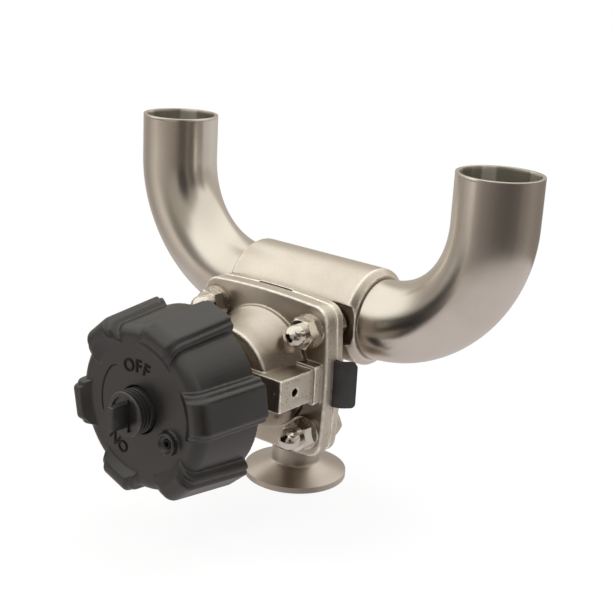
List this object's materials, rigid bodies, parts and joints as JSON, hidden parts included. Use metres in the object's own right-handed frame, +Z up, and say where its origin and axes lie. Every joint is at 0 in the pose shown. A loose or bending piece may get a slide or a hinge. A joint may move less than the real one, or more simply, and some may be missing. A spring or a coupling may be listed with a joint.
{
  "type": "diaphragm valve",
  "caption": "Sanitary diaphragm valve with a U shaped header run, a bolted cast bonnet, a black lugged handwheel with rising indicator and a clamp outlet below.",
  "frame": {"origin": "centre of the outlet bore in the lowest face of the clamp ferrule", "axes": "+Z up along the outlet and the tube ends, +X along the header run, +Y back from the handwheel towards the header"},
  "size_m": [0.2266, 0.1546, 0.1658],
  "materials": {
    "cast_steel": "bead blasted investment cast stainless steel",
    "tube_steel": "satin blasted stainless tube",
    "turned_steel": "turned stainless steel with fine lathe rings",
    "bolt_steel": "plain stainless fasteners",
    "polished_steel": "polished stainless acorn nuts",
    "black_plastic": "satin charcoal moulded plastic",
    "rubber": "matt black rubber",
    "bronze": "plain bronze"
  },
  "bodies": {
    "valve": {"valve_body": "cast_steel", "left_elbow": "tube_steel", "right_elbow": "tube_steel", "outlet_ferrule": "turned_steel", "bonnet": "cast_steel", "diaphragm": "rubber", "spindle_o_ring": "rubber", "lower_thrust_washer": "bronze", "upper_thrust_washer": "bronze", "gland_ring": "turned_steel", "gland_o_ring": "rubber", "bush_o_ring": "rubber", "flange_bolts": "bolt_steel", "flange_studs": "bolt_steel", "stud_lock_nuts": "bolt_steel", "flange_washers": "bolt_steel", "acorn_nuts": "polished_steel"},
    "wheel": {"handwheel": "black_plastic", "drive_nut": "bronze", "handwheel_nut": "bolt_steel", "lock_screw": "bolt_steel"},
    "stem": {"spindle": "turned_steel", "compressor": "cast_steel", "compressor_pin": "turned_steel", "diaphragm_stud": "turned_steel", "indicator_cap": "black_plastic"}
  },
  "joints": [
    {"name": "handwheel_turn", "type": "hinge", "parent": "valve", "child": "wheel", "pos_m": [0, -0.09, 0.064], "axis": [0, 1, 0], "range_deg": [0, 720]},
    {"name": "spindle_travel", "type": "slide", "parent": "valve", "child": "stem", "axis": [0, 1, 0], "range_m": [0, 0.008], "deforming": ["diaphragm"]}
  ],
  "couplings": [
    {"joint": "spindle_travel", "follows": "handwheel_turn", "m_per_rad": 0.00063662}
  ]
}
